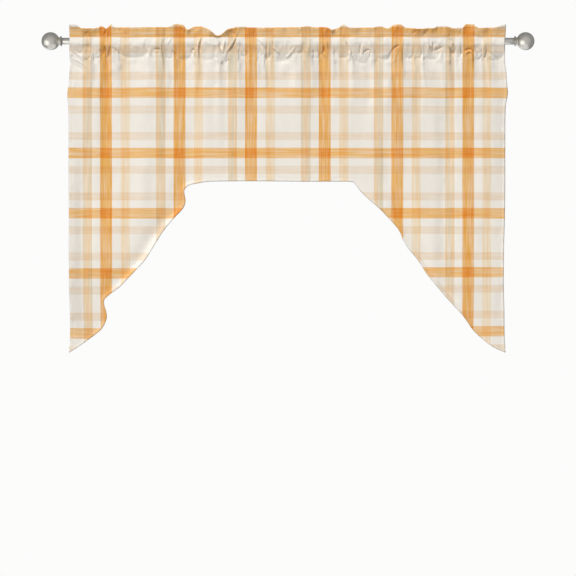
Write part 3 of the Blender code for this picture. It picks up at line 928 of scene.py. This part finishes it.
# ---- materials
class Nodes:
    """Short calls for building a node tree, most of which give an output."""

    def __init__(self, tree):
        self.tree = tree

    def add(self, kind, **settings):
        node = self.tree.nodes.new(kind)
        for key, value in settings.items():
            setattr(node, key, value)
        return node

    def feed(self, node, values):
        """Set or link a node's inputs, by name or number."""
        for key, value in values.items():
            if isinstance(value, (int, float, tuple)):
                node.inputs[key].default_value = value
            else:
                self.tree.links.new(value, node.inputs[key])
        return node

    def math(self, operation, *values, clamp=False):
        node = self.add("ShaderNodeMath", operation=operation, use_clamp=clamp)
        return self.feed(node, dict(enumerate(values))).outputs[0]

    def mix(self, amount, first, second, blend="MIX"):
        node = self.add("ShaderNodeMix", data_type="RGBA", blend_type=blend)
        return self.feed(node, {0: amount, 6: first, 7: second}).outputs[2]

    def noise(self, vector, scale, detail):
        node = self.add("ShaderNodeTexNoise", noise_dimensions="3D")
        return self.feed(node, {"Vector": vector, "Scale": scale, "Detail": detail}).outputs["Fac"]

    def range(self, value, low, high, to_low=0.0, to_high=1.0, curve="LINEAR"):
        node = self.add("ShaderNodeMapRange", interpolation_type=curve)
        return self.feed(node, dict(enumerate((value, low, high, to_low, to_high)))).outputs[0]

    def vector(self, *parts):
        return self.feed(self.add("ShaderNodeCombineXYZ"), dict(enumerate(parts))).outputs[0]

    def split(self, vector):
        return self.feed(self.add("ShaderNodeSeparateXYZ"), {0: vector}).outputs

    def relief(self, height, strength, distance):
        node = self.add("ShaderNodeBump")
        return self.feed(node, {"Height": height, "Strength": strength, "Distance": distance}).outputs[0]


def new_material(name):
    """A material, its node calls and its shader."""
    material = bpy.data.materials.new(name)
    material.use_nodes = True
    return material, Nodes(material.node_tree), material.node_tree.nodes["Principled BSDF"]


PLAID_ACROSS = 201.3 * MM
PLAID_UP = 167.4 * MM
BAND_MIDDLE_X = 99.6 * MM
BAND_MIDDLE_Z = 24.0 * MM
BAND_EDGE = 0.7 * MM
CREAM = (0.866, 0.806, 0.724, 1.0)
SLUB_SHADE = (0.95, 0.945, 0.93, 1.0)
WEAVE = 5200.0  # radians a metre
THREAD_TWIST = 9000.0

# Bands: runs along, middle from the repeat's start, width (metres), the two thread colours it is
# woven from, each multiplying what lies under it
BANDS = (
    ("up", 0.0, 33.0 * MM, (0.90, 0.475, 0.115, 1.0), (0.92, 0.540, 0.170, 1.0)),
    ("up", -52.0 * MM, 26.0 * MM, (0.800, 0.745, 0.625, 1.0), (0.935, 0.730, 0.500, 1.0)),
    ("up", 53.0 * MM, 25.0 * MM, (0.985, 0.880, 0.730, 1.0), (0.975, 0.800, 0.575, 1.0)),
    ("across", 0.0, 29.2 * MM, (0.965, 0.610, 0.235, 1.0), (0.945, 0.540, 0.190, 1.0)),
    ("across", 47.0 * MM, 22.0 * MM, (0.946, 0.860, 0.770, 1.0), (0.946, 0.825, 0.695, 1.0)),
    ("across", -47.0 * MM, 22.0 * MM, (0.946, 0.870, 0.785, 1.0), (0.946, 0.835, 0.710, 1.0)),
)


def plaid_material():
    """Plaid woven in two-tone streaky bands, with slubs, weave relief and a light sheen."""
    material, n, shader = new_material("plaid_cloth")
    across, up = n.split(n.add("ShaderNodeUVMap", uv_map="plaid").outputs[0])[:2]

    def streaks(run, fine, long, seed, detail):
        """Noise drawn out along one run of threads; fine and long are features a metre."""
        scales = (fine, long) if run == "up" else (long, fine)
        scaled = [n.math("MULTIPLY", place, scale) for place, scale in zip((across, up), scales)]
        return n.noise(n.vector(*scaled, seed), 1.0, detail)

    wobble = n.math("SUBTRACT", streaks("up", 9.0, 9.0, 0.0, 1.0), 0.5)
    wobble = n.math("MULTIPLY", wobble, 1.6 * MM)
    runs = {
        "up": (across, PLAID_ACROSS, BAND_MIDDLE_X, streaks("up", 260.0, 11.0, 3.1, 3.0),
               streaks("up", 120.0, 2.5, 1.7, 1.0), streaks("up", 170.0, 5.0, 6.3, 2.0)),
        "across": (up, PLAID_UP, BAND_MIDDLE_Z, streaks("across", 260.0, 11.0, 9.7, 3.0),
                   streaks("across", 120.0, 2.5, 5.3, 1.0), streaks("across", 170.0, 9.0, 2.9, 2.0)),
    }
    colour = CREAM
    for run, middle, width, first, second in BANDS:
        place, period, start, fine, wide, hue = runs[run]
        shifted = n.math("ADD", n.math("ADD", place, wobble), period * 20.5 - (start + middle))
        distance = n.math("ABSOLUTE", n.math("SUBTRACT", n.math("MODULO", shifted, period), period / 2))
        mask = n.range(distance, width / 2 - BAND_EDGE, width / 2 + BAND_EDGE, 1.0, 0.0, "SMOOTHSTEP")
        depth = n.math("ADD", n.range(fine, 0.34, 0.66, 0.66, 1.06), n.range(wide, 0.3, 0.7, -0.10, 0.10))
        strength = n.math("MULTIPLY", mask, depth, clamp=True)
        threads = n.mix(n.range(hue, 0.4, 0.6), first, second)
        colour = n.mix(strength, colour, threads, "MULTIPLY")

    slub = n.math("ADD", streaks("up", 900.0, 60.0, 0.4, 3.0), streaks("across", 900.0, 60.0, 0.8, 3.0))
    shade = n.math("MULTIPLY", n.range(slub, 0.7, 1.3), 0.5)
    weave = n.math("ADD", *(n.math("SINE", n.math("MULTIPLY", place, WEAVE)) for place in (across, up)))
    height = n.math("ADD", n.math("MULTIPLY", slub, 0.7), n.math("MULTIPLY", weave, 0.12))
    n.feed(shader, {
        "Base Color": n.mix(shade, colour, SLUB_SHADE, "MULTIPLY"),
        "Normal": n.relief(height, 0.35, 0.25 * MM),
        "Roughness": n.range(slub, 0.6, 1.4, 0.82, 0.94),
        "Specular IOR Level": 0.25, "Sheen Weight": 0.12, "Sheen Roughness": 0.5,
    })
    return material


def thread_material():
    """Twisted thread, a little darker than the cloth, with painted shade and light along its twist."""
    material, n, shader = new_material("sewing_thread")
    x, y, z = n.split(n.add("ShaderNodeTexCoord").outputs["Object"])
    slant = n.math("ADD", n.math("ADD", x, z), y)
    twist = n.math("SINE", n.math("MULTIPLY", slant, THREAD_TWIST))
    n.feed(shader, {
        # painted shade: the colour is darker in the grooves between the plies and lighter on their crests
        "Base Color": n.mix(n.range(twist, -1.0, 1.0), (0.72, 0.62, 0.48, 1.0), (0.86, 0.78, 0.66, 1.0)),
        "Roughness": n.range(twist, -1.0, 1.0, 0.75, 0.6),
        "Specular IOR Level": 0.3,
    })
    return material


def nickel_material():
    """Satin nickel, brushed round the rod, with a faint cloudiness."""
    material, n, shader = new_material("brushed_nickel")
    place = n.add("ShaderNodeTexCoord").outputs["Object"]
    scaled = [n.math("MULTIPLY", part, scale) for part, scale in zip(n.split(place), (2600.0, 60.0, 60.0))]
    brushed = n.noise(n.vector(*scaled), 1.0, 3.0)
    cloudy = n.range(n.noise(place, 70.0, 3.0), 0.3, 0.7)
    n.feed(shader, {
        "Base Color": n.mix(cloudy, (0.60, 0.585, 0.55, 1.0), (0.68, 0.665, 0.63, 1.0)),
        "Normal": n.relief(brushed, 0.06, 0.05 * MM),
        "Roughness": n.range(brushed, 0.3, 0.7, 0.24, 0.36),
        "Metallic": 1.0,
    })
    return material


# ---- stage, light and camera
VIEW_WIDTH = 1601.0 * MM
VIEW_CENTRE_Z = -686.0 * MM
VIEW_DISTANCE = 6.0
SENSOR = 36.0
FLOOR_Z = -1780.0 * MM
FLOOR_HALF = 1.6
SUN_DIRECTION = (0.42, 0.80, -0.86)

# Soft lights: name, place, what it points at, size, power
AREA_LIGHTS = (
    ("fill", (-1.2, -2.6, 1.2), (-0.2, 0.0, 0.0), (2.0, 1.2), 17.0),
    ("back", (1.2, 3.0, 1.0), (0.0, 0.0, -0.4), (2.4, 1.6), 60.0),
)

# What the metal mirrors, on top of a plain grey: direction, where it starts and ends (share of the
# way to that direction), and how much it adds
REFLECTED = (
    ((0.0, -1.0, 0.0), 0.2, 1.0, 0.30),
    ((-0.71, -0.52, -0.48), 0.70, 1.0, 1.30),
    ((-0.25, 0.05, -0.97), 0.60, 1.0, -0.34),
    ((0.0, 1.0, 0.0), 0.1, 1.0, -0.16),
    ((-0.30, 0.78, -0.55), 0.80, 1.0, 0.85),
)
REFLECTED_GREY = 0.40


def make_stage():
    """A plain pale floor, well below the valance."""
    corners = [(x * FLOOR_HALF, y * FLOOR_HALF, 0.0) for x, y in ((-1, -1), (1, -1), (1, 1), (-1, 1))]
    floor = make_mesh("floor", corners, [(0, 1, 2, 3)])
    floor.location = (0.0, 0.0, FLOOR_Z)
    material, n, shader = new_material("floor_white")
    n.feed(shader, {"Base Color": (0.86, 0.86, 0.855, 1.0), "Roughness": 0.9})
    floor.data.materials.append(material)


def make_world():
    """Soft light from above, a white backdrop for the camera, and studio panels for the metal."""
    world = bpy.data.worlds.new("studio")
    bpy.context.scene.world = world
    world.use_nodes = True
    n = Nodes(world.node_tree)
    place = n.add("ShaderNodeTexCoord").outputs["Generated"]

    def background(colour, strength):
        node = n.add("ShaderNodeBackground")
        return n.feed(node, {"Color": colour, "Strength": strength}).outputs[0]

    def choose(ray, plain, special):
        chosen = n.add("ShaderNodeLightPath").outputs[ray]
        return n.feed(n.add("ShaderNodeMixShader"), {0: chosen, 1: plain, 2: special}).outputs[0]

    mirrored = REFLECTED_GREY
    for direction, start, end, amount in REFLECTED:
        towards = n.feed(n.add("ShaderNodeVectorMath", operation="DOT_PRODUCT"), {0: place, 1: direction})
        panel = n.range(towards.outputs["Value"], start, end, 0.0, amount, "SMOOTHSTEP")
        mirrored = n.math("ADD", mirrored, panel)
    soft = background((0.92, 0.97, 1.02, 1.0), n.range(n.split(place)[2], -0.7, 0.8, 0.12, 0.46))
    panels = background((1.0, 0.995, 0.96, 1.0), mirrored)
    backdrop = background((1.0, 1.0, 0.995, 1.0), 0.97)
    seen = choose("Is Camera Ray", choose("Is Glossy Ray", soft, panels), backdrop)
    n.feed(world.node_tree.nodes["World Output"], {"Surface": seen})


def make_camera():
    """A long lens square to the valance."""
    data = bpy.data.cameras.new("camera")
    data.sensor_width = SENSOR
    data.lens = SENSOR * VIEW_DISTANCE / VIEW_WIDTH
    data.clip_end = 10 * VIEW_DISTANCE
    camera = add_object("camera", data)
    camera.location = (0.0, -VIEW_DISTANCE, VIEW_CENTRE_Z)
    camera.rotation_euler = (math.radians(90), 0.0, 0.0)
    bpy.context.scene.camera = camera


def add_light(name, kind, place, direction, power):
    """A light that the metal doesn't mirror: it has the world's panels for that."""
    light = bpy.data.lights.new(name, kind)
    light.energy = power
    item = add_object(name, light)
    item.location = place
    item.rotation_euler = Vector(direction).to_track_quat("-Z", "Y").to_euler()
    item.visible_glossy = False
    return light


def make_lights():
    """A soft sun from the upper left, a fill in front and a light for the back."""
    sun = add_light("key", "SUN", (-1.0, -2.2, 3.0), SUN_DIRECTION, 2.45)
    sun.angle = math.radians(16)
    for name, place, target, size, power in AREA_LIGHTS:
        light = add_light(name, "AREA", place, Vector(target) - Vector(place), power)
        light.shape = "RECTANGLE"
        light.size, light.size_y = size
    bpy.context.scene.view_settings.view_transform = "Standard"


# ---- assembly
def main():
    """Every piece with its material, body and replaced node, then the studio."""
    plaid = plaid_material()
    nickel = nickel_material()

    valance = make_valance()
    rod = make_rod()
    left = make_finial(-1, "finial_left_turned")
    right = make_finial(1, "finial_right_turned")
    for piece, node, material, slot in (
            (valance, "valance", plaid, "valance_cloth"), (rod, "rod", nickel, "brushed_nickel"),
            (left, "finial_left", nickel, "brushed_nickel"),
            (right, "finial_right", nickel, "brushed_nickel")):
        piece.data.materials.append(material)
        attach(piece, "root")
        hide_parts(node)
    stitches = make_stitches()
    stitches.data.materials.append(thread_material())
    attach(stitches, "root")

    make_stage()
    make_world()
    make_lights()
    make_camera()


main()
